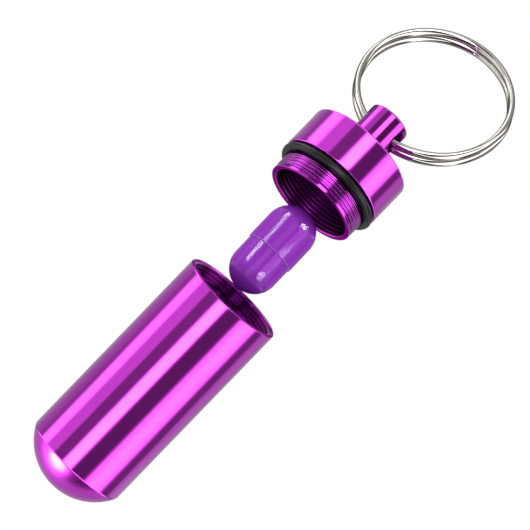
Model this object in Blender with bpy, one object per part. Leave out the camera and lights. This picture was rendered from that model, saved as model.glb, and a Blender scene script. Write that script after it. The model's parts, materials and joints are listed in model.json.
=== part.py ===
# Capsule case on a key ring: a turned aluminium tube, its screw cap with a rubber seal,
# a two-turn split ring through the cap's boss, and the hard capsule that the case holds.
# It is shown open: the cap is held off the tube, with the capsule between them.
# Metres, +Z up. +X runs along the tube towards its mouth; the origin is on the tube's axis,
# halfway along its straight wall, where it is held.

import bpy
import bmesh
from math import asin, cos, pi, radians, sin, sqrt, tan
from mathutils import Matrix, Vector

# Tube
TUBE_DIAMETER = 0.0140
TUBE_STRAIGHT = 0.0290          # mouth to the edge of the dome
DOME_HEIGHT = 0.0044
BORE_WALL = 0.0008              # wall below the thread
FLOOR_THICKNESS = 0.0013        # metal left under the tip of the dome
THREAD_WALL = 0.0005            # wall behind the thread's root
THREAD_RUN = 0.0042             # depth of the threaded mouth
THREAD_PITCH = 0.0005
LIP_ROUND = 0.0002              # outer edge of the mouth
LIP_CHAMFER = 0.0001            # lead-in of the thread

# Cap
CAP_DIAMETER = 0.01465
SKIRT_LENGTH = 0.0058
SKIRT_CHAMFER = 0.00025
SPIGOT_LENGTH = 0.0039          # skirt's lower face to the open end
SPIGOT_RIM = 0.0005             # width of the open end's rim
SPIGOT_CHAMFER = 0.00012
GROOVE_WALL = 0.00045           # wall between the seal's groove and the hollow
CAP_TOP_THICKNESS = 0.0020
HOLLOW_FILLET = 0.0006
BOSS_DIAMETER = 0.0057
BOSS_LENGTH = 0.0058            # skirt's top face to the edge of the boss's crown
BOSS_ROUND = 0.0007
BOSS_CROWN = 0.0002
BOSS_FILLET = 0.0003
HOLE_DIAMETER = 0.0030
HOLE_HEIGHT = 0.0036            # hole's axis above the skirt's top face
HOLE_TURN = radians(-18.5)      # hole's axis about the cap's axis, from straight down

# Seal
SEAL_SECTION = 0.00105
SEAL_PROUD = 0.000025           # seal's outer edge past the skirt
SEAL_GAP = 0.00015              # seal to groove, to skirt and to the tube's mouth

# Fit of the plain spigot in the threaded mouth
SCREW_GAP = 0.0002

# Split ring
RING_WIRE = 0.00085
RING_TURN_GAP = 0.00042         # space between its two turns
RING_MEAN_DIAMETER = 0.0198
RING_STEP = radians(34)         # stretch over which the wire crosses from turn to turn
RING_STEP_PLACE = radians(235)  # middle of that stretch, from the boss round the ring
RING_SWING = radians(-13)       # about the hole, from in line with the cap
RING_LEAN = radians(7.8)        # within its own plane
RING_SAG = 0.0004               # wire's middle off the hole's axis, towards the skirt

# Capsule
CAPSULE_LENGTH = 0.0131
CAPSULE_DIAMETER = 0.0068
CAPSULE_BODY_DIAMETER = 0.0065
CAPSULE_WALL = 0.00025
CAPSULE_GAP = 0.0002            # between the halves, and round the fill
CAPSULE_SEAM = 0.0006           # seam below the middle of the capsule
CAPSULE_NECK = 0.0036           # length of the body's neck inside the cap half
CAPSULE_FILL_TOP = 0.0006       # top of the fill below the neck's open end

# Where the cap and the capsule are held
CAP_AHEAD = 0.0147              # cap's open end from the tube's mouth, along the tube
CAP_BEHIND = 0.00404
CAP_RAISED = 0.0013
CAP_TURN = radians(31)          # cap's axis from the tube's
CAPSULE_AHEAD_OF_CAP = 0.0080   # capsule's middle in front of the cap's open end
CAPSULE_DROP = 0.00065          # and below the cap's axis
CAPSULE_TURN = radians(23)
CAPSULE_LIFT = radians(0.5)
ALIGNED_GAP = 0.0005            # cap's open end to the tube's mouth, brought into line

# Facets
TURNED_SIDES = 64
CAPSULE_SIDES = 32
HOLE_SIDES = 24
ARC_STEPS = 7
FILLET_STEPS = 3
SEAL_STEPS = 10
RING_POINTS_PER_TURN = 56
SHARP_ANGLE = radians(24)
MERGE = 1e-7
OVERRUN = 0.001                 # cutters reach this far past what they cut


def clear_scene():
    for thing in list(bpy.data.objects):
        bpy.data.objects.remove(thing, do_unlink=True)


def material(name, colour, roughness, metallic):
    made = bpy.data.materials.new(name)
    made.use_nodes = True
    shader = made.node_tree.nodes["Principled BSDF"]
    shader.inputs["Base Color"].default_value = (*colour, 1)
    shader.inputs["Roughness"].default_value = roughness
    shader.inputs["Metallic"].default_value = metallic
    made.diffuse_color = (*colour, 1)
    return made


# Outlines are lists of (radius, height) points

def arc(centre, radius, start, end, steps):
    """Points on a round stretch of an outline, both ends included."""
    return [(centre[0] + radius * cos(start + (end - start) * step / steps),
             centre[1] + radius * sin(start + (end - start) * step / steps))
            for step in range(steps + 1)]


def dome(radius, height, foot, way, steps):
    """Spherical dome from its edge, at the height foot, to its tip on the axis."""
    sphere = (radius ** 2 + height ** 2) / (2 * height)
    centre = foot + way * (height - sphere)
    edge = asin(min(1.0, radius / sphere))
    if height > radius:
        edge = pi - edge
    angles = [edge * (1 - step / steps) for step in range(steps)]
    points = [(sphere * sin(angle), centre + way * sphere * cos(angle)) for angle in angles]
    return points + [(0, centre + way * sphere)]


def place(thing, parent, matrix):
    thing.parent = parent
    thing.matrix_parent_inverse = Matrix.Identity(4)
    thing.matrix_basis = matrix
    bpy.context.scene.collection.objects.link(thing)
    return thing


def empty(name, parent, matrix):
    return place(bpy.data.objects.new(name, None), parent, matrix)


def turned(name, outline, sides, finish, parent, closed=False):
    """Piece turned about its parent's Z axis from an outline of (radius, height) points."""
    shape = bmesh.new()
    points = [shape.verts.new((radius, 0, height)) for radius, height in outline]
    edges = [shape.edges.new(pair) for pair in zip(points, points[1:])]
    if closed:
        edges.append(shape.edges.new((points[-1], points[0])))
    bmesh.ops.spin(shape, geom=points + edges, cent=(0, 0, 0), axis=(0, 0, 1), dvec=(0, 0, 0),
                   angle=2 * pi, steps=sides, use_merge=True)
    bmesh.ops.remove_doubles(shape, verts=shape.verts, dist=MERGE)
    bmesh.ops.recalc_face_normals(shape, faces=shape.faces)
    mesh = bpy.data.meshes.new(name)
    shape.to_mesh(mesh)
    shape.free()
    mesh.shade_smooth()
    mesh.set_sharp_from_angle(angle=SHARP_ANGLE)
    mesh.materials.append(finish)
    return place(bpy.data.objects.new(name, mesh), parent, Matrix.Identity(4))


# Radii and heights that follow from the sizes above
tube_radius = TUBE_DIAMETER / 2
bore_radius = tube_radius - BORE_WALL
thread_radius = tube_radius - THREAD_WALL
spigot_radius = thread_radius - SCREW_GAP
cap_radius = CAP_DIAMETER / 2
boss_radius = BOSS_DIAMETER / 2
seal_radius = cap_radius + SEAL_PROUD
seal_inner_radius = seal_radius - SEAL_SECTION
groove_radius = seal_inner_radius - SEAL_GAP
groove_height = SEAL_SECTION + 2 * SEAL_GAP
hollow_radius = groove_radius - GROOVE_WALL
spigot_mouth_radius = spigot_radius - SPIGOT_RIM
mouth_x = TUBE_STRAIGHT / 2
screwed_in = SPIGOT_LENGTH - groove_height     # spigot inside the tube when the case is closed
screw_travel = screwed_in + ALIGNED_GAP

# Frames of the held pieces: Z is each piece's own axis
tube_frame = Matrix.Translation((mouth_x, 0, 0)) @ Matrix.Rotation(pi / 2, 4, "Y")
cap_mouth = Vector((mouth_x + CAP_AHEAD, CAP_BEHIND, CAP_RAISED))
cap_axis = Vector((cos(CAP_TURN), sin(CAP_TURN), 0))
skirt_face = cap_mouth + cap_axis * SPIGOT_LENGTH
cap_frame = (Matrix.Translation(skirt_face) @ Matrix.Rotation(CAP_TURN, 4, "Z")
             @ Matrix.Rotation(pi / 2, 4, "Y"))
capsule_middle = cap_mouth - cap_axis * CAPSULE_AHEAD_OF_CAP - Vector((0, 0, CAPSULE_DROP))
capsule_frame = (Matrix.Translation(capsule_middle) @ Matrix.Rotation(CAPSULE_TURN, 4, "Z")
                 @ Matrix.Rotation(pi / 2 - CAPSULE_LIFT, 4, "Y"))


def tube(finish):
    floor = TUBE_STRAIGHT - BORE_WALL
    inner_height = TUBE_STRAIGHT + DOME_HEIGHT - FLOOR_THICKNESS - floor
    inside = dome(bore_radius, inner_height, -floor, -1, ARC_STEPS)[::-1]
    relief = thread_radius - bore_radius
    mouth = [(bore_radius, -THREAD_RUN - relief), (thread_radius, -THREAD_RUN),
             (thread_radius, -LIP_CHAMFER), (thread_radius + LIP_CHAMFER, 0)]
    lip = arc((tube_radius - LIP_ROUND, -LIP_ROUND), LIP_ROUND, pi / 2, 0, FILLET_STEPS)
    outside = dome(tube_radius, DOME_HEIGHT, -TUBE_STRAIGHT, -1, ARC_STEPS)
    frame = empty("tube_axis", None, tube_frame)
    turned("tube", inside + mouth + lip + outside, TURNED_SIDES, finish, frame)


def cap(finish):
    top = SKIRT_LENGTH
    floor = top - CAP_TOP_THICKNESS
    corner = (hollow_radius - HOLLOW_FILLET, floor - HOLLOW_FILLET)
    inside = [(0, floor)] + arc(corner, HOLLOW_FILLET, pi / 2, 0, FILLET_STEPS)
    spigot = [(hollow_radius, -groove_height),
              (spigot_mouth_radius, -SPIGOT_LENGTH),
              (spigot_radius - SPIGOT_CHAMFER, -SPIGOT_LENGTH),
              (spigot_radius, -SPIGOT_LENGTH + SPIGOT_CHAMFER),
              (spigot_radius, -groove_height),
              (groove_radius, -groove_height),
              (groove_radius, 0)]
    skirt = [(cap_radius - SKIRT_CHAMFER, 0), (cap_radius, SKIRT_CHAMFER),
             (cap_radius, top - SKIRT_CHAMFER), (cap_radius - SKIRT_CHAMFER, top)]
    foot = arc((boss_radius + BOSS_FILLET, top + BOSS_FILLET), BOSS_FILLET, -pi / 2, -pi, FILLET_STEPS)
    shoulder = (boss_radius - BOSS_ROUND, top + BOSS_LENGTH - BOSS_ROUND)
    edge = arc(shoulder, BOSS_ROUND, 0, pi / 2, FILLET_STEPS)
    crown = dome(boss_radius - BOSS_ROUND, BOSS_CROWN, top + BOSS_LENGTH, 1, FILLET_STEPS)[1:]
    frame = empty("cap_axis", None, cap_frame)
    made = turned("cap", inside + spigot + skirt + foot + edge + crown, TURNED_SIDES, finish, frame)
    drill_hole(made, frame)
    return frame


def drill_hole(piece, frame):
    shape = bmesh.new()
    bmesh.ops.create_cone(shape, cap_ends=True, segments=HOLE_SIDES, radius1=HOLE_DIAMETER / 2,
                          radius2=HOLE_DIAMETER / 2, depth=BOSS_DIAMETER + 2 * OVERRUN)
    mesh = bpy.data.meshes.new("hole_cutter")
    shape.to_mesh(mesh)
    shape.free()
    cutter = place(bpy.data.objects.new("hole_cutter", mesh), frame, hole_frame())
    cutter.hide_render = True
    cutter.display_type = "WIRE"
    cut = piece.modifiers.new("ring_hole", "BOOLEAN")
    cut.operation = "DIFFERENCE"
    cut.solver = "EXACT"
    cut.object = cutter


def hole_frame():
    """Frame of the cross hole in the cap's frame: Z along the hole, X along the cap's axis."""
    height = Matrix.Translation((0, 0, SKIRT_LENGTH + HOLE_HEIGHT))
    return height @ Matrix.Rotation(HOLE_TURN, 4, "Z") @ Matrix.Rotation(pi / 2, 4, "Y")


def seal(finish, cap_place):
    middle = seal_radius - SEAL_SECTION / 2
    section = arc((middle, -SEAL_GAP - SEAL_SECTION / 2), SEAL_SECTION / 2, 0, 2 * pi, SEAL_STEPS)[:-1]
    turned("o_ring", section, TURNED_SIDES, finish, cap_place, closed=True)


def ring_points():
    """Wire's middle line: one turn, a step across to the other layer, and a second turn.
    The ring's plane is XY, with the boss at angle 0 and the ring's centre at the origin."""
    layer = (RING_WIRE + RING_TURN_GAP) / 2
    radius = RING_MEAN_DIAMETER / 2
    start = RING_STEP_PLACE + RING_STEP / 2
    turn = 2 * pi - RING_STEP
    total = 2 * turn + RING_STEP
    count = round(total / (2 * pi) * RING_POINTS_PER_TURN)
    points = []
    for index in range(count + 1):
        angle = total * index / count
        across = min(1.0, max(0.0, (angle - turn) / RING_STEP))
        eased = across * across * (3 - 2 * across)
        turned_to = start + angle
        points.append(Vector((radius * cos(turned_to), radius * sin(turned_to), layer * (1 - 2 * eased))))
    return points


def split_ring(finish, cap_place):
    points = ring_points()
    wire = bpy.data.curves.new("split_ring", "CURVE")
    wire.dimensions = "3D"
    wire.bevel_depth = RING_WIRE / 2
    wire.bevel_resolution = 2
    wire.use_fill_caps = True
    spline = wire.splines.new("POLY")
    spline.points.add(len(points) - 1)
    # The pivot is the hole's axis; the ring's centre lies one radius off it, less the sag
    reach = Vector((RING_MEAN_DIAMETER / 2 - RING_SAG, 0, 0))
    for knot, point in zip(spline.points, points):
        knot.co = (*(reach - point), 1)
    wire.materials.append(finish)
    pivot = empty("ring_pivot", cap_place, hole_frame())
    # In the pivot's frame X points back along the cap's axis and Z along the hole
    flat = Matrix.Rotation(pi, 4, "Z") @ Matrix.Rotation(pi / 2, 4, "X")
    swing = Matrix.Rotation(RING_SWING, 4, "Z")
    lean = Matrix.Rotation(RING_LEAN, 4, "Z")
    place(bpy.data.objects.new("split_ring", wire), pivot, swing @ flat @ lean)
    print("split ring, least gap between turns:", round(least_gap(points) * 1000, 3), "mm")


def least_gap(points):
    """Least space between stretches of the wire that are more than half a turn apart."""
    apart = RING_POINTS_PER_TURN // 2
    spans = [(first - second).length
             for index, first in enumerate(points) for second in points[index + apart:]]
    return min(spans) - RING_WIRE


def capsule(cap_half_finish, body_finish, fill_finish):
    frame = empty("capsule_axis", None, capsule_frame)
    half = CAPSULE_LENGTH / 2
    seam = -CAPSULE_SEAM
    outer = CAPSULE_DIAMETER / 2
    inner = outer - CAPSULE_WALL
    shell = dome(inner, inner, half - outer, 1, ARC_STEPS)[::-1] + [(inner, seam), (outer, seam)]
    turned("capsule_cap", shell + dome(outer, outer, half - outer, 1, ARC_STEPS), CAPSULE_SIDES,
           cap_half_finish, frame)

    body = CAPSULE_BODY_DIAMETER / 2
    body_inner = body - CAPSULE_WALL
    neck = inner - CAPSULE_GAP
    neck_inner = neck - CAPSULE_WALL
    shoulder = seam - CAPSULE_GAP
    neck_top = seam + CAPSULE_NECK
    below = shoulder - CAPSULE_WALL
    cup = dome(body_inner, body_inner, body - half, -1, ARC_STEPS)[::-1]
    rim = [(body_inner, below), (neck_inner, below), (neck_inner, neck_top), (neck, neck_top),
           (neck, shoulder), (body, shoulder)]
    turned("capsule_body", cup + rim + dome(body, body, body - half, -1, ARC_STEPS), CAPSULE_SIDES,
           body_finish, frame)

    wide = body_inner - CAPSULE_GAP
    narrow = neck_inner - CAPSULE_GAP
    fill_top = neck_top - CAPSULE_FILL_TOP
    column = [(0, fill_top), (narrow, fill_top), (narrow, below - CAPSULE_GAP), (wide, below - CAPSULE_GAP)]
    turned("capsule_fill", column + dome(wide, wide, body - half, -1, ARC_STEPS), CAPSULE_SIDES,
           fill_finish, frame)


def closing_axis():
    """Line about which the cap and the capsule are brought round over the tube's mouth:
    a unit axis, a point on it and the angle that brings the cap into line, just clear of the mouth."""
    aligned = Vector((mouth_x + ALIGNED_GAP, 0, 0))
    move = aligned - cap_mouth
    between = Vector((cos(CAP_TURN / 2), sin(CAP_TURN / 2), 0))
    up = Vector((0, 0, 1))
    axis = (between * move.z - up * move.dot(between)).normalized()
    if axis.z > 0:
        axis = -axis
    level = sqrt(1 - axis.dot(cap_axis) ** 2)
    angle = 2 * asin(sin(CAP_TURN / 2) / level)
    point = (cap_mouth + aligned) / 2 + axis.cross(move) / (2 * tan(angle / 2))
    return axis, point, angle


def shown(vector):
    return [round(value, 6) for value in vector]


def report():
    axis, point, angle = closing_axis()
    hole = cap_frame @ hole_frame()
    print("closing axis", shown(axis), "through", shown(point), "turns", round(angle * 180 / pi, 3))
    print("cap axis", shown(cap_axis), "mouth", shown(cap_mouth), "skirt", shown(skirt_face))
    print("hole", shown(hole.translation), "axis", shown(hole.col[2][:3]))
    print("screw travel", round(screw_travel, 6), "turns", round(screw_travel / THREAD_PITCH, 3))


clear_scene()
anodised = material("anodised_violet", (0.42, 0.03, 0.45), 0.22, 1.0)
anodised_cap = material("anodised_violet_cap", (0.42, 0.03, 0.45), 0.20, 1.0)
rubber = material("black_rubber", (0.015, 0.015, 0.016), 0.55, 0.0)
plated = material("plated_steel", (0.78, 0.77, 0.76), 0.12, 1.0)
cap_half = material("capsule_cap_shell", (0.30, 0.04, 0.50), 0.15, 0.0)
body_half = material("capsule_body_shell", (0.27, 0.035, 0.47), 0.15, 0.0)
powder = material("capsule_powder", (0.80, 0.78, 0.74), 0.9, 0.0)

tube(anodised)
cap_place = cap(anodised_cap)
seal(rubber, cap_place)
split_ring(plated, cap_place)
capsule(cap_half, body_half, powder)
bpy.context.view_layer.update()
report()
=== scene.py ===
# Looks of the capsule case: turned and anodised tube and cap, rubber seal, plated
# split ring, and the two-part capsule. Metres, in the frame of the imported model.

import json
from math import asin, atan2, cos, floor, pi, radians, sin, sqrt

import bmesh
import bpy
from mathutils import Matrix, Vector


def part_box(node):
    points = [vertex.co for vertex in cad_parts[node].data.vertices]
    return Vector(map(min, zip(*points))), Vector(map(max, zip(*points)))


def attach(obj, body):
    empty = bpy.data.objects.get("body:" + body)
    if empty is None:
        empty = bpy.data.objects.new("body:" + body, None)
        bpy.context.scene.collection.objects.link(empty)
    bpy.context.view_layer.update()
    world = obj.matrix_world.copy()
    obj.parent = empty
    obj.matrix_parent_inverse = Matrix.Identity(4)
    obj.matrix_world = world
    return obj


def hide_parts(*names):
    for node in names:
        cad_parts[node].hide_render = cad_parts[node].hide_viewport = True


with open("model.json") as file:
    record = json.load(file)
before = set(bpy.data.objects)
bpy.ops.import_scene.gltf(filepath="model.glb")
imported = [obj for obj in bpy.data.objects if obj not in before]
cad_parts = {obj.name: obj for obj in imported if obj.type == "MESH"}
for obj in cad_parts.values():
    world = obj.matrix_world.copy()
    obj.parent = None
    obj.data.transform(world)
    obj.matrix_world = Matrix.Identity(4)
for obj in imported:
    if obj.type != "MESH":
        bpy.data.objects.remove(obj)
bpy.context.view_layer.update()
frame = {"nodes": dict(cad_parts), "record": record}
joints = {joint["name"]: joint for joint in frame["record"]["behaviour"]["joints"]}
mm = 0.001


# Shader maths

class Flow:
    # One output of a node. Arithmetic on it adds Math nodes.
    def __init__(self, sheet, socket):
        self.sheet = sheet
        self.socket = socket

    def maths(self, operation, *values):
        return self.sheet.node("ShaderNodeMath", {"operation": operation}, dict(enumerate(values)))

    def __add__(self, other):
        return self.maths("ADD", self, other)

    __radd__ = __add__

    def __sub__(self, other):
        return self.maths("SUBTRACT", self, other)

    def __rsub__(self, other):
        return self.maths("SUBTRACT", other, self)

    def __mul__(self, other):
        return self.maths("MULTIPLY", self, other)

    __rmul__ = __mul__

    def __truediv__(self, other):
        return self.maths("DIVIDE", self, other)

    def __rtruediv__(self, other):
        return self.maths("DIVIDE", other, self)

    def __pow__(self, other):
        return self.maths("POWER", self, other)

    def between(self, low, high):
        # 0 below low, 1 above high, and smooth from one to the other
        return self.sheet.node("ShaderNodeMapRange", {"interpolation_type": "SMOOTHSTEP"},
                               {"Value": self, "From Min": low, "From Max": high})

    def band(self, low, high, soft):
        return self.between(low - soft, low + soft) * (1 - self.between(high - soft, high + soft))


class Sheet:
    # A node tree that is filled by calls
    def __init__(self, tree):
        self.tree = tree

    def node(self, kind, settings=None, inputs=None, output=0):
        made = self.tree.nodes.new(kind)
        for name, value in (settings or {}).items():
            setattr(made, name, value)
        for name, value in (inputs or {}).items():
            socket = made.inputs[name]
            if isinstance(value, Flow):
                self.tree.links.new(value.socket, socket)
            else:
                socket.default_value = value
        return Flow(self, made.outputs[output])

    def mix(self, amount, first, second):
        return self.node("ShaderNodeMix", {"data_type": "RGBA"},
                         {"Factor": amount, "A": first, "B": second}, output="Result")

    def noise(self, spot, scale, detail):
        return self.node("ShaderNodeTexNoise", None, {"Vector": spot, "Scale": scale, "Detail": detail})

    def bump(self, height, depth, strength):
        return self.node("ShaderNodeBump", None, {"Height": height, "Distance": depth, "Strength": strength})


def newMaterial(name, shaderValues):
    # A material with the shader's constants set, and the place on the object for its textures
    made = bpy.data.materials.new(name)
    made.use_nodes = True
    sheet = Sheet(made.node_tree)
    shader = made.node_tree.nodes["Principled BSDF"]
    for socket, value in shaderValues.items():
        shader.inputs[socket].default_value = value
    spot = sheet.node("ShaderNodeTexCoord", output="Object")
    return made, sheet, shader, spot


def feed(sheet, shader, links):
    for socket, value in links.items():
        sheet.tree.links.new(value.socket, shader.inputs[socket])


# Places of the held pieces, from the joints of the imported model

capJoint = joints["cap_turn"]
capAxis = -Vector(capJoint["axis"]).normalized()
capMouth = Vector(capJoint["pos_m"])
holeCentre = Vector(joints["ring_swing"]["pos_m"])
holeAxis = Vector(joints["ring_swing"]["axis"]).normalized()
tubeLow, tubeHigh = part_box("tube")
mouthX = tubeHigh.x


def standOn(point, zAxis, xHint):
    # Matrix of a frame at the point, with Z along zAxis and X as near xHint as it can be
    zAxis = zAxis.normalized()
    xAxis = (xHint - zAxis * xHint.dot(zAxis)).normalized()
    yAxis = zAxis.cross(xAxis)
    turn = Matrix((xAxis, yAxis, zAxis)).transposed()
    return Matrix.Translation(point) @ turn.to_4x4()


down = Vector((0, 0, -1))
tubePlace = standOn(Vector((mouthX, 0, 0)), Vector((1, 0, 0)), down)       # Z = 0 at the mouth


# Turned pieces: outlines of (radius, height), spun about Z and then stood in their places

def arcPoints(centre, radius, start, end, steps):
    return [(centre[0] + radius * cos(start + (end - start) * step / steps),
             centre[1] + radius * sin(start + (end - start) * step / steps)) for step in range(steps + 1)]


def domePoints(radius, height, foot, way, steps):
    # Round end from its edge to its tip on the axis
    sphere = (radius ** 2 + height ** 2) / (2 * height)
    centre = foot + way * (height - sphere)
    edge = asin(min(1.0, radius / sphere))
    if height > radius:
        edge = pi - edge
    angles = [edge * (1 - step / steps) for step in range(steps)]
    return [(sphere * sin(angle), centre + way * sphere * cos(angle)) for angle in angles] + \
           [(0, centre + way * sphere)]


def rows(start, end, count):
    # Points along a straight stretch, without its ends, so that it can be shaped afterwards
    return [(start[0] + (end[0] - start[0]) * step / count,
             start[1] + (end[1] - start[1]) * step / count) for step in range(1, count)]


weld = 0.0001 * mm      # points closer than this become one
near = 0.002 * mm       # within which points count as lying on one circle or wall


def spun(outline, sides, closed=False):
    shape = bmesh.new()
    points = [shape.verts.new((radius, 0, height)) for radius, height in outline]
    edges = [shape.edges.new(pair) for pair in zip(points, points[1:])]
    if closed:
        edges.append(shape.edges.new((points[-1], points[0])))
    bmesh.ops.spin(shape, geom=points + edges, cent=(0, 0, 0), axis=(0, 0, 1), dvec=(0, 0, 0),
                   angle=2 * pi, steps=sides, use_merge=True)
    bmesh.ops.remove_doubles(shape, verts=shape.verts, dist=weld)
    bmesh.ops.recalc_face_normals(shape, faces=shape.faces)
    return shape


def roundCorner(shape, radius, height, width, segments):
    # Rounds the circle of edges that stands at one corner of the outline
    ring = [edge for edge in shape.edges
            if all(abs(sqrt(end.co.x ** 2 + end.co.y ** 2) - radius) < near
                   and abs(end.co.z - height) < near for end in edge.verts)]
    bmesh.ops.bevel(shape, geom=ring, offset=width, offset_type="OFFSET", affect="EDGES",
                    segments=segments, profile=0.5, material=-1, clamp_overlap=True)


def cutThread(shape, thread, start, end, surface):
    # Moves the points of a plain round wall in or out, so that it carries a screw thread
    for vert in shape.verts:
        radius = sqrt(vert.co.x ** 2 + vert.co.y ** 2)
        if not start < vert.co.z < end or abs(radius - surface) > near:
            continue
        turn = atan2(vert.co.y, vert.co.x) / (2 * pi)
        place = vert.co.z / thread["pitch"] - turn + thread["phase"]
        wave = abs(2 * (place - floor(place)) - 1)
        rise = min(1.0, max(0.0, (wave - thread["root"]) / (thread["crest"] - thread["root"])))
        height = rise * rise * (3 - 2 * rise)
        fade = min(1.0, (vert.co.z - start) / thread["fade"], (end - vert.co.z) / thread["fade"])
        moved = surface + thread["depth"] * height * fade
        vert.co.x *= moved / radius
        vert.co.y *= moved / radius


def finished(name, shape, place, sharp, *materials):
    bmesh.ops.transform(shape, matrix=place, verts=shape.verts)
    mesh = bpy.data.meshes.new(name)
    shape.to_mesh(mesh)
    shape.free()
    mesh.shade_smooth()
    mesh.set_sharp_from_angle(angle=radians(sharp))
    for made in materials:
        mesh.materials.append(made)
    piece = bpy.data.objects.new(name, mesh)
    bpy.context.scene.collection.objects.link(piece)
    return piece


# Finishes

anodised = {
    "colour": (0.62, 0.042, 0.66, 1),
    "deep": (0.55, 0.034, 0.59, 1),
    "patchScale": 160.0,
    "patchReach": (0.35, 0.75),
    "patchShare": 0.5,
    "roughness": 0.08,
    "roughnessSpread": 0.04,
    "coat": 0.3,
    "coatRoughness": 0.05,
    "coarseMarks": 0.42 * mm,    # distances between the marks that the lathe leaves
    "fineMarks": 0.13 * mm,
    "markDepth": 0.0008 * mm,
    "acrossFaces": 0.8,          # how closely the marks follow on flat faces, against those on walls
    "boreEdge": 0.06 * mm,       # over which the finish of the bore begins: outward, and at its ends
    "endEdge": 0.05 * mm,
    "domeEdge": 0.1 * mm,
}


def lineDistance(sheet, spot, location, rotation):
    # Distance from a line: the Z axis of the frame that the Mapping node brings to the origin
    own = sheet.node("ShaderNodeMapping", {"vector_type": "POINT"},
                     {"Vector": spot, "Location": location, "Rotation": rotation})
    across = sheet.node("ShaderNodeVectorMath", {"operation": "MULTIPLY"},
                        {0: own, 1: (1, 1, 0)}, output="Vector")
    radius = sheet.node("ShaderNodeVectorMath", {"operation": "LENGTH"}, {0: across}, output="Value")
    height = sheet.node("ShaderNodeSeparateXYZ", None, {"Vector": own}, output="Z")
    return own, radius, height


def placeOf(frameMatrix):
    location, rotation, _ = frameMatrix.inverted().decompose()
    return location, rotation.to_euler()


def anodisedFinish(name, place, look, hole=None):
    # Bright turned aluminium under a violet dye, with fine marks round the piece's own axis. Painted shade is
    # added in the bore and the cross hole, on the boss and on the spigot
    made, sheet, shader, spot = newMaterial(name, {"Metallic": 1.0, "Coat IOR": 1.5,
                                                   "Coat Roughness": anodised["coatRoughness"]})
    own, radius, height = lineDistance(sheet, spot, *placeOf(place))
    beyondBore = radius.between(look["boreRadius"], look["boreRadius"] + anodised["boreEdge"])
    inBore = (1 - beyondBore) * height.band(*look["boreHeights"], anodised["endEdge"])
    # The cross hole counts as bore, so it takes the same painted shade
    if hole is not None:
        _, holeRadius, _ = lineDistance(sheet, spot, *placeOf(hole))
        inBore = 1 - (1 - inBore) * holeRadius.between(*look["holeRadii"])
    track = height + radius * anodised["acrossFaces"]
    coarse = sheet.node("ShaderNodeTexNoise", {"noise_dimensions": "1D"},
                        {"W": track / anodised["coarseMarks"], "Scale": 1.0, "Detail": 1.0})
    fine = sheet.node("ShaderNodeTexNoise", {"noise_dimensions": "1D"},
                      {"W": track / anodised["fineMarks"], "Scale": 1.0, "Detail": 2.0})
    patch = sheet.noise(own, anodised["patchScale"], 2.0)
    deepness = patch.between(*anodised["patchReach"]) * anodised["patchShare"]
    skin = sheet.mix(deepness, anodised["colour"], anodised["deep"])
    if hole is not None:
        # The boss is coloured darker: painted shade standing in for the darker reflections it shows
        onBoss = (1 - radius.between(*look["bossRadii"])) * height.between(*look["bossHeights"])
        skin = sheet.mix(onBoss, skin, look["bossShadeColour"])
        # The spigot is coloured darker: painted shade that dulls its reflections
        onSpigot = radius.between(*look["spigotRadii"]) * (1 - height.between(*look["spigotHeights"]))
        skin = sheet.mix(onSpigot, skin, look["spigotShadeColour"])
    # The bore is rougher and has no coat, and its darker colour is painted shade of the recess
    colour = sheet.mix(inBore, skin, look["boreShadeColour"])
    grain = (anodised["roughness"] + (fine - 0.5) * anodised["roughnessSpread"]
             + inBore * (look["boreRoughness"] - anodised["roughness"]))
    shine = 1 - inBore
    if "domeFrom" in look:
        onDome = 1 - height.between(look["domeFrom"], look["domeFrom"] + anodised["domeEdge"])
        grain = grain + onDome * look["domeBlur"]
        shine = shine * (1 - onDome)
    bump = sheet.bump(fine + coarse, anodised["markDepth"], 1.0)
    feed(sheet, shader, {"Base Color": colour, "Roughness": grain, "Normal": bump,
                         "Coat Weight": shine * anodised["coat"]})
    return made


rim = {
    "colour": (0.38, 0.040, 0.40, 1),
    "worn": (0.30, 0.024, 0.33, 1),
    "edge": (0.78, 0.34, 0.78, 1),
    "wearScale": 900.0,
    "wearReach": (0.35, 0.75),
    "wearShare": 0.5,
    "roughness": 0.16,
    "roughnessSpread": 0.06,
    "depth": 0.0008 * mm,
    "strength": 0.5,
}


def rimFinish():
    # Dye on the narrow turned rims, where it wears thin
    made, sheet, shader, spot = newMaterial("anodisedRim", {"Metallic": 1.0, "Specular Tint": rim["edge"]})
    wear = sheet.noise(spot, rim["wearScale"], 3.0)
    colour = sheet.mix(wear.between(*rim["wearReach"]) * rim["wearShare"], rim["colour"], rim["worn"])
    rough = rim["roughness"] + (wear - 0.5) * rim["roughnessSpread"]
    bump = sheet.bump(wear, rim["depth"], rim["strength"])
    feed(sheet, shader, {"Base Color": colour, "Roughness": rough, "Normal": bump})
    return made


def markRim(shape, height, width):
    # The second material goes on the faces of a flat rim and its rounded edges
    for face in shape.faces:
        if abs(face.calc_center_median().z - height) < width:
            face.material_index = 1


rubber = {
    "colour": (0.007, 0.007, 0.008, 1),
    "dusty": (0.013, 0.013, 0.014, 1),
    "dustScale": 700.0,
    "dustReach": (0.5, 0.8),
    "dustShare": 0.5,
    "roughness": 0.31,
    "roughnessSpread": 0.12,
    "gloss": 0.20,
    "grain": 9000.0,
    "depth": 0.003 * mm,
    "strength": 0.6,
}


def rubberFinish():
    made, sheet, shader, spot = newMaterial("sealRubber", {"Specular IOR Level": rubber["gloss"]})
    grain = sheet.noise(spot, rubber["grain"], 4.0)
    dust = sheet.noise(spot, rubber["dustScale"], 3.0)
    dusty = dust.between(*rubber["dustReach"]) * rubber["dustShare"]
    colour = sheet.mix(dusty, rubber["colour"], rubber["dusty"])
    rough = rubber["roughness"] + (grain - 0.5) * rubber["roughnessSpread"]
    bump = sheet.bump(grain, rubber["depth"], rubber["strength"])
    feed(sheet, shader, {"Base Color": colour, "Roughness": rough, "Normal": bump})
    return made


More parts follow.
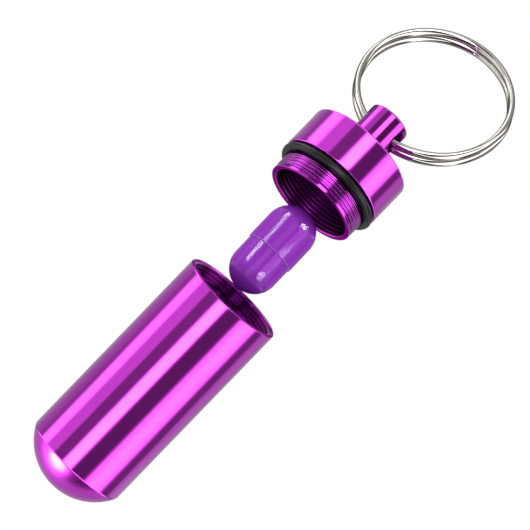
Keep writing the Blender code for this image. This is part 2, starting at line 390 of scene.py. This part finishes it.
plated = {
    "colour": (0.45, 0.43, 0.405, 1),
    "dull": (0.33, 0.315, 0.29, 1),
    # dark edge tint: painted shade, dark reflections along the sides of the wire
    "edge": (0.12, 0.115, 0.11, 1),
    "wearScale": 420.0,
    "wearReach": (0.45, 0.8),
    "wearShare": 0.6,
    "roughness": 0.07,
    "roughnessSpread": 0.05,
    "drawnScale": 2600.0,
    "depth": 0.0005 * mm,
    "strength": 0.15,
}


def platedFinish():
    # The dark edge tint paints shade along the sides of the wire
    made, sheet, shader, spot = newMaterial("platedSteel", {"Metallic": 1.0, "Specular Tint": plated["edge"]})
    wear = sheet.noise(spot, plated["wearScale"], 4.0)
    drawn = sheet.noise(spot, plated["drawnScale"], 2.0)
    worn = wear.between(*plated["wearReach"]) * plated["wearShare"]
    colour = sheet.mix(worn, plated["colour"], plated["dull"])
    rough = plated["roughness"] + (drawn - 0.5) * plated["roughnessSpread"]
    bump = sheet.bump(drawn, plated["depth"], plated["strength"])
    feed(sheet, shader, {"Base Color": colour, "Roughness": rough, "Normal": bump})
    return made


shell = {
    "colour": (0.300, 0.036, 0.50, 1),
    "deep": (0.25, 0.028, 0.44, 1),
    # painted shade at both ends of the capsule
    "ends": (0.105, 0.010, 0.20, 1),
    # painted highlight along the edge of the wider half
    "seamHighlight": (0.50, 0.22, 0.66, 1),
    "cloudScale": 300.0,
    "cloudReach": (0.3, 0.8),
    "cloudShare": 0.4,
    "endShadeReach": (3.7 * mm, 6.4 * mm),      # from the middle, over which the colour turns to the painted shade of the ends
    "endShadeShare": 0.9,
    "seamHighlightReach": (0.03 * mm, 0.09 * mm),
    "under": 0.1,                          # light that goes into the shell and comes out again
    "underColour": (0.6, 0.25, 0.8),
    "underDepth": 0.6 * mm,
    "roughness": 0.11,
    "roughnessSpread": 0.04,
    "grain": 2400.0,
    "depth": 0.0004 * mm,
    "strength": 0.25,
}


def shellFinish(name, gloss, lift, edge=None):
    made, sheet, shader, spot = newMaterial(name, {
        "Specular IOR Level": gloss, "Subsurface Weight": shell["under"],
        "Subsurface Radius": shell["underColour"], "Subsurface Scale": shell["underDepth"]})
    cloud = sheet.noise(spot, shell["cloudScale"], 2.0)
    grain = sheet.noise(spot, shell["grain"], 2.0)
    deepness = cloud.between(*shell["cloudReach"]) * shell["cloudShare"] + lift
    colour = sheet.mix(deepness, shell["colour"], shell["deep"])
    _, _, height = lineDistance(sheet, spot, *placeOf(capsulePlace()))
    # Towards both ends the shell turns darker: painted shade of the capsule's ends
    endShade = height.maths("ABSOLUTE", height).between(*shell["endShadeReach"]) * shell["endShadeShare"]
    colour = sheet.mix(endShade, colour, shell["ends"])
    if edge is not None:
        # A pale band along the edge of the wider half is a painted highlight of the seam
        fromEdge = height - edge
        onSeamHighlight = 1 - fromEdge.maths("ABSOLUTE", fromEdge).between(*shell["seamHighlightReach"])
        colour = sheet.mix(onSeamHighlight, colour, shell["seamHighlight"])
    rough = shell["roughness"] + (grain - 0.5) * shell["roughnessSpread"]
    bump = sheet.bump(grain, shell["depth"], shell["strength"])
    feed(sheet, shader, {"Base Color": colour, "Roughness": rough, "Normal": bump})
    return made


powder = {
    "colour": (0.84, 0.82, 0.78, 1),
    "dark": (0.70, 0.67, 0.61, 1),
    "gloss": 0.1,
    "grain": 6000.0,
    "roughness": 0.85,
    "roughnessSpread": 0.1,
    "depth": 0.03 * mm,
    "strength": 0.8,
}


def powderFinish():
    made, sheet, shader, spot = newMaterial("capsulePowder", {"Specular IOR Level": powder["gloss"]})
    grain = sheet.node("ShaderNodeTexVoronoi", None, {"Vector": spot, "Scale": powder["grain"]})
    colour = sheet.mix(grain, powder["colour"], powder["dark"])
    rough = powder["roughness"] + grain * powder["roughnessSpread"]
    bump = sheet.bump(grain, powder["depth"], powder["strength"])
    feed(sheet, shader, {"Base Color": colour, "Roughness": rough, "Normal": bump})
    return made


# Tube

tubeValues = {
    "straight": 29.0 * mm,
    "boreWall": 0.8 * mm,
    "floor": 1.3 * mm,
    "rootWall": 0.5 * mm,
    "threadRun": 4.2 * mm,
    "threadEnd": 1.98 * mm,      # plain relief from here on, for the plain rim of the spigot
    "threadRows": 140,
    "lipRound": 0.28 * mm,
    "lipChamfer": 0.10 * mm,
    "lipSlope": 0.12 * mm,
    "creaseRound": 0.16 * mm,
    "roundSteps": 4,
    "innerRows": 20,
    "domeRows": 28,
    "flatRim": 0.14 * mm,
    "sides": 160,
    "sharp": 55,
    "thread": {"pitch": 0.5 * mm, "depth": -0.25 * mm, "phase": 0.0,
               "root": 0.30, "crest": 0.9, "fade": 0.16 * mm},
    "look": {
        "boreRadius": 6.52 * mm,
        "boreHeights": (-28.6 * mm, -0.1 * mm),
        # painted shade inside the bore
        "boreShadeColour": (0.20, 0.008, 0.215, 1),
        "boreRoughness": 0.12,
        "domeFrom": -29.1 * mm,
        "domeBlur": 0.18,        # added to the roughness on the brushed dome
    },
}


def makeTube(*finishes):
    sizes = tubeValues
    radius = tubeHigh.z
    straight = sizes["straight"]
    domeHeight = mouthX - tubeLow.x - straight
    bore = radius - sizes["boreWall"]
    root = radius - sizes["rootWall"]
    inner = straight - sizes["boreWall"]
    innerHeight = straight + domeHeight - sizes["floor"] - inner
    inside = domePoints(bore, innerHeight, -inner, -1, sizes["innerRows"])[::-1]
    threadFoot = (root, -sizes["threadRun"])
    threadTop = (root, -sizes["lipSlope"])
    mouth = [(bore, threadFoot[1] - (root - bore)), threadFoot,
             *rows(threadFoot, threadTop, sizes["threadRows"]), threadTop]
    lip = [(root + sizes["lipChamfer"], 0), (radius, 0)]
    wall = [(radius, -straight)]
    outside = domePoints(radius, domeHeight, -straight, -1, sizes["domeRows"])[1:]
    shape = spun(inside + mouth + lip + wall + outside, sizes["sides"])
    roundCorner(shape, radius, 0, sizes["lipRound"], sizes["roundSteps"])
    roundCorner(shape, radius, -straight, sizes["creaseRound"], sizes["roundSteps"])
    cutThread(shape, sizes["thread"], -sizes["threadEnd"], threadTop[1], root)
    markRim(shape, 0, sizes["flatRim"])
    piece = finished("tubeShell", shape, tubePlace, sizes["sharp"], *finishes)
    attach(piece, "tube")
    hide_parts("tube")
    print("tube made")
    return piece


# Cap

capValues = {
    "spigot": 3.9 * mm,          # open end to the skirt's lower face
    "rimRadius": 6.4 * mm,
    "rimRound": 0.12 * mm,
    "rimSlope": 0.1 * mm,
    "flatRim": 0.084 * mm,
    "plainRim": 0.50 * mm,       # smooth stretch between the open end and the thread
    "threadRoot": 6.21 * mm,
    "threadRows": 80,
    "grooveRadius": 6.15 * mm,
    "grooveHeight": 1.35 * mm,
    "hollow": 5.74 * mm,
    "hollowFillet": 0.6 * mm,
    "hollowRows": 170,
    "filletSteps": 8,
    "mouthSlope": 0.12 * mm,
    "skirt": 5.8 * mm,
    "skirtRows": 12,
    "radius": 7.325 * mm,
    "footRound": 0.2 * mm,
    "topRound": 0.22 * mm,
    "top": 2.0 * mm,             # thickness over the hollow
    "boss": 2.85 * mm,
    "bossLength": 5.8 * mm,
    "bossRound": 0.7 * mm,
    "bossCrown": 0.2 * mm,
    "bossFillet": 0.3 * mm,
    "bossRows": 24,
    "crownRows": 8,
    "hole": 1.5 * mm,
    "holeFlare": 0.22 * mm,
    "flareDepth": 0.484 * mm,
    "sides": 160,
    "holeSides": 64,
    "sharp": 55,
    "thread": {"pitch": 0.5 * mm, "depth": 0.22 * mm, "phase": 0.293,
               "root": 0.05, "crest": 0.9, "fade": 0.15 * mm},
    "ridges": {"pitch": 0.55 * mm, "depth": -0.04 * mm, "phase": 0.0,      # left by the tool in the hollow
               "root": 0.2, "crest": 1.0, "fade": 0.2 * mm},
    "look": {
        "boreRadius": 5.73 * mm,
        "boreHeights": (-3.85 * mm, 3.85 * mm),
        # painted shade inside the hollow and the cross hole
        "boreShadeColour": (0.18, 0.008, 0.195, 1),
        "boreRoughness": 0.30,
        # from here on, each pair gives the start and the end of a soft change
        "holeRadii": (1.52 * mm, 1.60 * mm),
        "bossRadii": (3.1 * mm, 3.4 * mm),
        "bossHeights": (5.8 * mm, 6.0 * mm),
        # painted shade on the boss
        "bossShadeColour": (0.40, 0.024, 0.43, 1),
        "spigotRadii": (5.9 * mm, 6.0 * mm),
        "spigotHeights": (-1.2 * mm, -1.0 * mm),
        # painted shade on the spigot
        "spigotShadeColour": (0.30, 0.024, 0.33, 1),
    },
}
capPlace = standOn(capMouth + capAxis * capValues["spigot"], capAxis, down)     # Z = 0 at the skirt's foot
holePlace = standOn(holeCentre, holeAxis, capAxis)


def makeCap(*finishes):
    sizes = capValues
    top = sizes["skirt"]
    end = -sizes["spigot"]
    radius = sizes["radius"]
    boss = sizes["boss"]
    bossTop = top + sizes["bossLength"]
    rimRadius = sizes["rimRadius"]
    mouthRadius = sizes["hollow"] + sizes["mouthSlope"]
    floorHeight = top - sizes["top"]
    corner = (sizes["hollow"] - sizes["hollowFillet"], floorHeight - sizes["hollowFillet"])
    inside = [(0, floorHeight)] + arcPoints(corner, sizes["hollowFillet"], pi / 2, 0, sizes["filletSteps"])
    hollowFoot = (sizes["hollow"], end + sizes["mouthSlope"])
    root = sizes["threadRoot"]
    threadFoot = (root, end + sizes["plainRim"])
    threadTop = (root, -sizes["grooveHeight"])
    spigot = [*rows(inside[-1], hollowFoot, sizes["hollowRows"]), hollowFoot,
              (mouthRadius, end), (rimRadius, end), (rimRadius, threadFoot[1] - sizes["rimSlope"]),
              threadFoot, *rows(threadFoot, threadTop, sizes["threadRows"]), threadTop,
              (sizes["grooveRadius"], -sizes["grooveHeight"]), (sizes["grooveRadius"], 0)]
    outside = [(radius, 0), *rows((radius, 0), (radius, top), sizes["skirtRows"]), (radius, top),
               (boss, top), *rows((boss, top), (boss, bossTop), sizes["bossRows"]), (boss, bossTop)]
    crown = domePoints(boss, sizes["bossCrown"], bossTop, 1, sizes["crownRows"])[1:]
    shape = spun(inside + spigot + outside + crown, sizes["sides"])
    for place, width, steps in [((radius, 0), sizes["footRound"], 4),
                                ((radius, top), sizes["topRound"], 5),
                                ((boss, bossTop), sizes["bossRound"], 8),
                                ((boss, top), sizes["bossFillet"], 5),
                                ((mouthRadius, end), sizes["rimRound"], 3),
                                ((rimRadius, end), sizes["rimRound"], 3)]:
        roundCorner(shape, *place, width, steps)
    cutThread(shape, sizes["thread"], threadFoot[1], threadTop[1], root)
    cutThread(shape, sizes["ridges"], hollowFoot[1], corner[1], sizes["hollow"])
    markRim(shape, end, sizes["flatRim"])
    piece = finished("capShell", shape, capPlace, sizes["sharp"], *finishes)
    drillHole(piece, sizes)
    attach(piece, "cap")
    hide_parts("cap")
    print("cap made")


def drillHole(piece, sizes):
    # Cross hole with flared ends, cut through the boss
    half = sizes["boss"]
    flare = sizes["hole"] + sizes["holeFlare"]
    neck = half - sizes["flareDepth"]
    over = 1.0 * mm
    side = [(0, -half - over), (flare + over, -half - over), (flare, -half), (sizes["hole"], -neck),
            (sizes["hole"], neck), (flare, half), (flare + over, half + over), (0, half + over)]
    cutter = finished("holeCutter", spun(side, sizes["holeSides"]), holePlace, sizes["sharp"])
    cut = piece.modifiers.new("crossHole", "BOOLEAN")
    cut.operation = "DIFFERENCE"
    cut.solver = "EXACT"
    cut.object = cutter
    graph = bpy.context.evaluated_depsgraph_get()
    drilled = bpy.data.meshes.new_from_object(piece.evaluated_get(graph))
    piece.modifiers.clear()
    piece.data = drilled
    bpy.data.objects.remove(cutter)
    drilled.shade_smooth()
    drilled.set_sharp_from_angle(angle=radians(sizes["sharp"]))


# Seal

sealValues = {
    "radius": 7.35 * mm,
    "section": 1.05 * mm,
    "lift": 0.15 * mm,           # gap to the skirt's foot
    "sides": 160,
    "round": 32,
    "sharp": 60,
}


def makeSeal(finish):
    sizes = sealValues
    half = sizes["section"] / 2
    middle = (sizes["radius"] - half, -sizes["lift"] - half)
    shape = spun(arcPoints(middle, half, 0, 2 * pi, sizes["round"])[:-1], sizes["sides"], closed=True)
    piece = finished("sealRing", shape, capPlace, sizes["sharp"], finish)
    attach(piece, "seal")
    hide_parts("o_ring")
    print("seal made")


# Split ring

ringValues = {
    "wire": 0.85 * mm,           # across, in the plane of the ring
    "wireHeight": 1.18 * mm,     # along the ring's own axis
    "layers": 1.27 * mm,
    "mean": 19.8 * mm,
    "step": 18.0,                # degrees, as are the other angles here
    "stepPlace": 1.0,            # out of sight in the boss
    "overlap": 0.16,             # share of the step that each end still reaches into
    "swing": -13.0,
    "lean": 7.8,
    "sag": 0.4 * mm,
    "perTurn": 400,
    "round": 44,
    "endRound": 0.1 * mm,
    "endSteps": 3,
    "sharp": 40,
}


def makeRing(finish):
    sizes = ringValues
    stretch = sizes["wireHeight"] / sizes["wire"]
    layer = sizes["layers"] / 2 / stretch
    radius = sizes["mean"] / 2
    step = radians(sizes["step"])
    start = radians(sizes["stepPlace"]) + step / 2
    turn = 2 * pi - step
    total = 2 * turn + step
    spare = step * sizes["overlap"]
    count = round(total / (2 * pi) * sizes["perTurn"])
    wire = bpy.data.curves.new("ringWire", "CURVE")
    wire.dimensions = "3D"
    wire.bevel_depth = sizes["wire"] / 2
    wire.bevel_resolution = sizes["round"] // 4
    wire.use_fill_caps = True
    spline = wire.splines.new("POLY")
    spline.points.add(count)
    for index, knot in enumerate(spline.points):
        angle = (total + 2 * spare) * index / count - spare
        across = min(1.0, max(0.0, (angle - turn) / step))
        eased = across * across * (3 - 2 * across)
        point = Vector((radius * cos(start + angle), radius * sin(start + angle), layer * (1 - 2 * eased)))
        knot.co = (*(Vector((radius - sizes["sag"], 0, 0)) - point), 1)
    holder = bpy.data.objects.new("ringWire", wire)
    bpy.context.scene.collection.objects.link(holder)
    graph = bpy.context.evaluated_depsgraph_get()
    mesh = bpy.data.meshes.new_from_object(holder.evaluated_get(graph))
    bpy.data.objects.remove(holder)
    shape = bmesh.new()
    shape.from_mesh(mesh)
    bmesh.ops.remove_doubles(shape, verts=shape.verts, dist=weld)
    bmesh.ops.scale(shape, vec=(1, 1, stretch), verts=shape.verts)
    bmesh.ops.recalc_face_normals(shape, faces=shape.faces)
    ends = {edge for face in shape.faces if len(face.verts) > 4 for edge in face.edges}
    bmesh.ops.bevel(shape, geom=list(ends), offset=sizes["endRound"], affect="EDGES",
                    segments=sizes["endSteps"], profile=0.5, material=-1)
    flat = Matrix.Rotation(pi, 4, "Z") @ Matrix.Rotation(pi / 2, 4, "X")
    swing = Matrix.Rotation(radians(sizes["swing"]), 4, "Z")
    lean = Matrix.Rotation(radians(sizes["lean"]), 4, "Z")
    pivot = standOn(holeCentre, holeAxis, -capAxis)
    piece = finished("ringWire", shape, pivot @ swing @ flat @ lean, sizes["sharp"], finish)
    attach(piece, "key_ring")
    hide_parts("split_ring")
    print("ring made")


# Capsule

capsuleValues = {
    "length": 13.1 * mm,
    "capRadius": 3.4 * mm,
    "bodyRadius": 3.25 * mm,
    "wall": 0.25 * mm,
    "gap": 0.2 * mm,
    "seamGap": 0.04 * mm,
    "seam": 0.6 * mm,            # edge of the wider half, from the middle
    "neck": 3.6 * mm,            # of the narrower half, inside the wider one
    "ahead": 8.0 * mm,           # middle of the capsule to the open end of the cap
    "drop": 0.65 * mm,
    "turn": 23.0,                # degrees
    "lift": 0.5,
    "lipRound": 0.08 * mm,
    "lipSteps": 3,
    "innerRows": 20,
    "domeRows": 28,
    "sides": 128,
    "sharp": 35,
    "capGloss": 0.05,
    "bodyGloss": 0.07,
    "bodyLift": 0.12,            # share of the deeper colour that the body has on top of the cap's
}


def capsulePlace():
    sizes = capsuleValues
    middle = capMouth - capAxis * sizes["ahead"] - Vector((0, 0, sizes["drop"]))
    return (Matrix.Translation(middle) @ Matrix.Rotation(radians(sizes["turn"]), 4, "Z")
            @ Matrix.Rotation(pi / 2 - radians(sizes["lift"]), 4, "Y"))


def makeCapsule(capFinish, bodyFinish):
    sizes = capsuleValues
    half = sizes["length"] / 2
    seam = -sizes["seam"]
    outer = sizes["capRadius"]
    inner = outer - sizes["wall"]
    cupInside = domePoints(inner, inner, half - outer, 1, sizes["innerRows"])[::-1]
    cupOutside = domePoints(outer, outer, half - outer, 1, sizes["domeRows"])
    capHalf = spun(cupInside + [(inner, seam), (outer, seam)] + cupOutside, sizes["sides"])
    roundCorner(capHalf, outer, seam, sizes["lipRound"], sizes["lipSteps"])

    body = sizes["bodyRadius"]
    bodyInner = body - sizes["wall"]
    neck = inner - sizes["gap"]
    neckInner = neck - sizes["wall"]
    neckTop = seam + sizes["neck"]
    shoulder = seam - sizes["seamGap"]
    below = shoulder - sizes["wall"]
    cupInside = domePoints(bodyInner, bodyInner, body - half, -1, sizes["innerRows"])[::-1]
    cupOutside = domePoints(body, body, body - half, -1, sizes["domeRows"])
    collar = [(bodyInner, below), (neckInner, below), (neckInner, neckTop), (neck, neckTop),
              (neck, shoulder), (body, shoulder)]
    bodyHalf = spun(cupInside + collar + cupOutside, sizes["sides"])
    roundCorner(bodyHalf, body, shoulder, sizes["lipRound"], sizes["lipSteps"])

    halves = []
    for name, shape, node, finish in [("capsuleCapShell", capHalf, "capsule_cap", capFinish),
                                      ("capsuleBodyShell", bodyHalf, "capsule_body", bodyFinish)]:
        piece = finished(name, shape, capsulePlace(), sizes["sharp"], finish)
        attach(piece, "capsule")
        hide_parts(node)
        halves.append(piece)
    print("capsule made")
    return halves


def dressFill(finish):
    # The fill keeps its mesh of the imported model
    fill = frame["nodes"]["capsule_fill"]
    fill.data.materials.clear()
    fill.data.materials.append(finish)
    print("fill dressed")


# Camera: a long lens at the photograph's angle, rolled so that the tube runs up to the right

cameraView = {
    "azimuth": 11.0,
    "roll": 46.0,
    "frameWidth": 530,
    "pixelsPerMillimetre": 7.95,
    "mouthPixel": (233.7, 297.4),
    "lens": 1000.0,
    "sensor": 36.0,
    "clip": (0.01, 20.0),
}
azimuth = radians(cameraView["azimuth"])
roll = radians(cameraView["roll"])
viewBack = Vector((sin(azimuth), -cos(azimuth), 0))      # towards the camera
level = Vector((cos(azimuth), sin(azimuth), 0))
upright = Vector((0, 0, 1))
viewRight = level * cos(roll) - upright * sin(roll)
viewUp = level * sin(roll) + upright * cos(roll)


def makeCamera():
    view = cameraView
    scale = view["pixelsPerMillimetre"] / mm
    middle = view["frameWidth"] / 2
    aside = (middle - view["mouthPixel"][0]) / scale
    above = (view["mouthPixel"][1] - middle) / scale
    target = Vector((mouthX, 0, 0)) + viewRight * aside + viewUp * above
    distance = view["frameWidth"] / scale * view["lens"] / view["sensor"]
    lens = bpy.data.cameras.new("viewCamera")
    lens.lens = view["lens"]
    lens.sensor_width = view["sensor"]
    lens.clip_start, lens.clip_end = view["clip"]
    camera = bpy.data.objects.new("viewCamera", lens)
    camera.matrix_world = (Matrix.Translation(target + viewBack * distance)
                           @ Matrix((viewRight, viewUp, viewBack)).transposed().to_4x4())
    bpy.context.scene.collection.objects.link(camera)
    bpy.context.scene.camera = camera
    print("camera placed")


# Studio: strip lights and dark flags stand round the work, and the rest is plain white.
# A reflection is looked up by the slope of the surface that would show it from the front:
# tilt is its slope up or down, and aside its slope to the right or left.

studio = {
    "plain": 0.48,
    "diffuse": 1.80,
    "diffuseFloor": 0.03,
    "strips": [
        # tilt from, tilt to, soft edge, level added
        (0.605, 0.752, 0.035, 2.7),
        (0.385, 0.610, 0.025, 0.42),
        (-0.045, 0.150, 0.032, 5.4),
        (-0.675, -0.378, 0.035, 2.3),
        (-0.610, -0.450, 0.060, 1.3),
        (-0.920, -0.830, 0.030, 0.16),
    ],
    "flags": [
        (0.795, 0.840, 0.020, -0.10),
        (0.190, 0.385, 0.020, -0.20),
        (-0.335, -0.085, 0.022, -0.32),
        (-0.815, -0.715, 0.018, -0.25),
    ],
    "skew": (0.07, 0.35),
    "bandReach": (-0.36, 0.41),      # aside, for the strips and flags
    "edgeLines": (-0.46, 0.51),      # aside, for the thin bright lines beyond them
    "edgeTilt": (-0.80, 0.80, 0.06),
    "edgeLevel": 3.2,
    "sideSoft": 0.02,
    "openEnd": 0.55,                 # beyond the lines on the right
    "domeRim": (0.76, 0.82),         # slopes between which the dome's shade turns to its rim light
    "domeShade": 0.05,
    "rimLevel": 0.72,
    "rimFall": 0.22,
    "rimFallReach": (0.80, 0.95),
    "domeGlow": 1.3,
    "glowTilt": (0.06, 0.60, 0.08),
    "glowSlope": (0.60, 0.84, 0.03),
}


def makeStudio():
    world = bpy.data.worlds.new("studio")
    bpy.context.scene.world = world
    world.use_nodes = True
    sheet = Sheet(world.node_tree)

    def vector(operation, *values):
        output = "Value" if operation == "DOT_PRODUCT" else "Vector"
        return sheet.node("ShaderNodeVectorMath", {"operation": operation}, dict(enumerate(values)), output)

    ray = vector("NORMALIZE", sheet.node("ShaderNodeTexCoord", output="Generated"))
    facing = vector("NORMALIZE", vector("ADD", ray, viewBack))
    tilt = vector("DOT_PRODUCT", facing, upright)
    aside = vector("DOT_PRODUCT", facing, level)
    rayAside = vector("DOT_PRODUCT", ray, level)
    skewLow, skewHigh = studio["skew"]
    leaning = tilt + aside * (skewLow - tilt * tilt * skewHigh)
    bands = sum((leaning.band(low, high, soft) * added
                 for low, high, soft, added in studio["strips"] + studio["flags"]), studio["plain"])

    slope = (tilt * tilt + aside * aside) ** 0.5
    atRim = slope.between(*studio["domeRim"])
    glow = tilt.band(*studio["glowTilt"]) * slope.band(*studio["glowSlope"]) * studio["domeGlow"]
    shine = studio["rimLevel"] - slope.between(*studio["rimFallReach"]) * studio["rimFall"]
    leftSide = (1 - atRim) * studio["domeShade"] + atRim * shine + glow

    soft = studio["sideSoft"]
    left, right = studio["edgeLines"]
    inside = aside.band(*studio["bandReach"], soft)
    goesLeft = 1 - aside.between(left - soft, left + soft)
    goesRight = aside.between(right - soft, right + soft)
    lines = (1 - inside) * (1 - goesLeft) * (1 - goesRight) * tilt.band(*studio["edgeTilt"])
    mirrored = (inside * bands + goesLeft * leftSide + goesRight * studio["openEnd"]
                + lines * studio["edgeLevel"])
    spread = studio["diffuseFloor"] + (1 - rayAside * rayAside) ** 3 * studio["diffuse"]

    # The mirrored strips for glossy rays, soft light for the rest, and plain white behind the work
    camera = sheet.node("ShaderNodeLightPath", output="Is Camera Ray")
    glossy = sheet.node("ShaderNodeLightPath", output="Is Glossy Ray")
    seen = glossy * mirrored + (1 - glossy) * spread
    strength = camera + (1 - camera) * seen
    background = world.node_tree.nodes["Background"]
    background.inputs["Color"].default_value = (1, 1, 1, 1)
    sheet.tree.links.new(strength.socket, background.inputs["Strength"])
    print("studio lit")


lampDistance = 0.5      # metres


def makeLamp(name, values, centre, axis, receivers):
    # Soft box whose reflection lies on surfaces of the given slopes: along an axis and across it
    across = axis.cross(viewBack).normalized()
    if across.z < 0:
        across = -across
    front = across.cross(axis)
    if front.dot(viewBack) < 0:
        front = -front

    def mirrored(along, side):
        normal = axis * along + across * side + front * sqrt(1 - along ** 2 - side ** 2)
        return normal * (2 * normal.dot(viewBack)) - viewBack

    (alongLow, alongHigh), (sideLow, sideHigh) = values["along"], values["across"]
    alongMiddle = (alongLow + alongHigh) / 2
    sideMiddle = (sideLow + sideHigh) / 2
    ray = mirrored(alongMiddle, sideMiddle).normalized()
    length = mirrored(alongHigh, sideMiddle) - mirrored(alongLow, sideMiddle)
    width = mirrored(alongMiddle, sideHigh) - mirrored(alongMiddle, sideLow)
    lamp = bpy.data.lights.new(name, "AREA")
    lamp.shape = values.get("shape", "RECTANGLE")
    lamp.size = length.length * lampDistance
    lamp.size_y = width.length * lampDistance
    lamp.energy = values["level"] * lamp.size * lamp.size_y * pi
    lamp.color = values.get("colour", (1, 1, 1))
    holder = bpy.data.objects.new(name, lamp)
    holder.matrix_world = standOn(centre + ray * lampDistance, ray, length)
    holder.visible_camera = False
    holder.visible_diffuse = False
    bpy.context.scene.collection.objects.link(holder)
    group = bpy.data.collections.new(name)
    for piece in receivers:
        group.objects.link(piece)
    holder.light_linking.receiver_collection = group


floorLook = {"colour": (0.9, 0.9, 0.9, 1), "roughness": 0.9, "half": 500 * mm, "drop": 75 * mm,
             "sharp": 30}


def makeFloor():
    shape = bmesh.new()
    bmesh.ops.create_grid(shape, x_segments=2, y_segments=2, size=floorLook["half"])
    made, _, _, _ = newMaterial("paleFloor", {"Base Color": floorLook["colour"],
                                              "Roughness": floorLook["roughness"]})
    ground = finished("floor", shape, Matrix.Translation((0, 0, -floorLook["drop"])),
                      floorLook["sharp"], made)
    ground.visible_glossy = False
    print("floor laid")


makeCamera()
makeStudio()
makeFloor()
rimDye = rimFinish()
tubeShell = makeTube(anodisedFinish("anodisedTube", tubePlace, tubeValues["look"]), rimDye)
makeCap(anodisedFinish("anodisedCap", capPlace, capValues["look"], holePlace), rimDye)
makeSeal(rubberFinish())
makeRing(platedFinish())
capsuleHalves = makeCapsule(
    shellFinish("capsuleCapShell", capsuleValues["capGloss"], 0.0, -capsuleValues["seam"]),
    shellFinish("capsuleBodyShell", capsuleValues["bodyGloss"], capsuleValues["bodyLift"]))
dressFill(powderFinish())

capsuleAxis = capsulePlace().to_3x3() @ Vector((0, 0, 1))
capsuleMiddle = capsulePlace().translation
tubeAxis = Vector((1, 0, 0))
domeMiddle = Vector((tubeLow.x, 0, 0))
violet = (0.8, 0.32, 1.0)
capsuleLamps = {
    "longStrip": {"along": (-0.34, 0.62), "across": (0.42, 0.56), "level": 62.0},
    "broadStrip": {"along": (-0.42, 0.55), "across": (-0.56, -0.20), "level": 24.0, "colour": violet},
    "farPatch": {"along": (0.24, 0.62), "across": (-0.38, -0.12), "level": 150.0},
    "nearPatch": {"along": (-0.44, -0.06), "across": (-0.50, -0.24), "level": 50.0},
}
for name, values in capsuleLamps.items():
    makeLamp(name, values, capsuleMiddle, capsuleAxis, capsuleHalves)
domeBox = {"along": (-0.62, -0.34), "across": (0.04, 0.40), "level": 18.0, "shape": "ELLIPSE"}
makeLamp("domeBox", domeBox, domeMiddle, tubeAxis, [tubeShell])
print("lamps placed")

bpy.context.scene.view_settings.view_transform = "Standard"
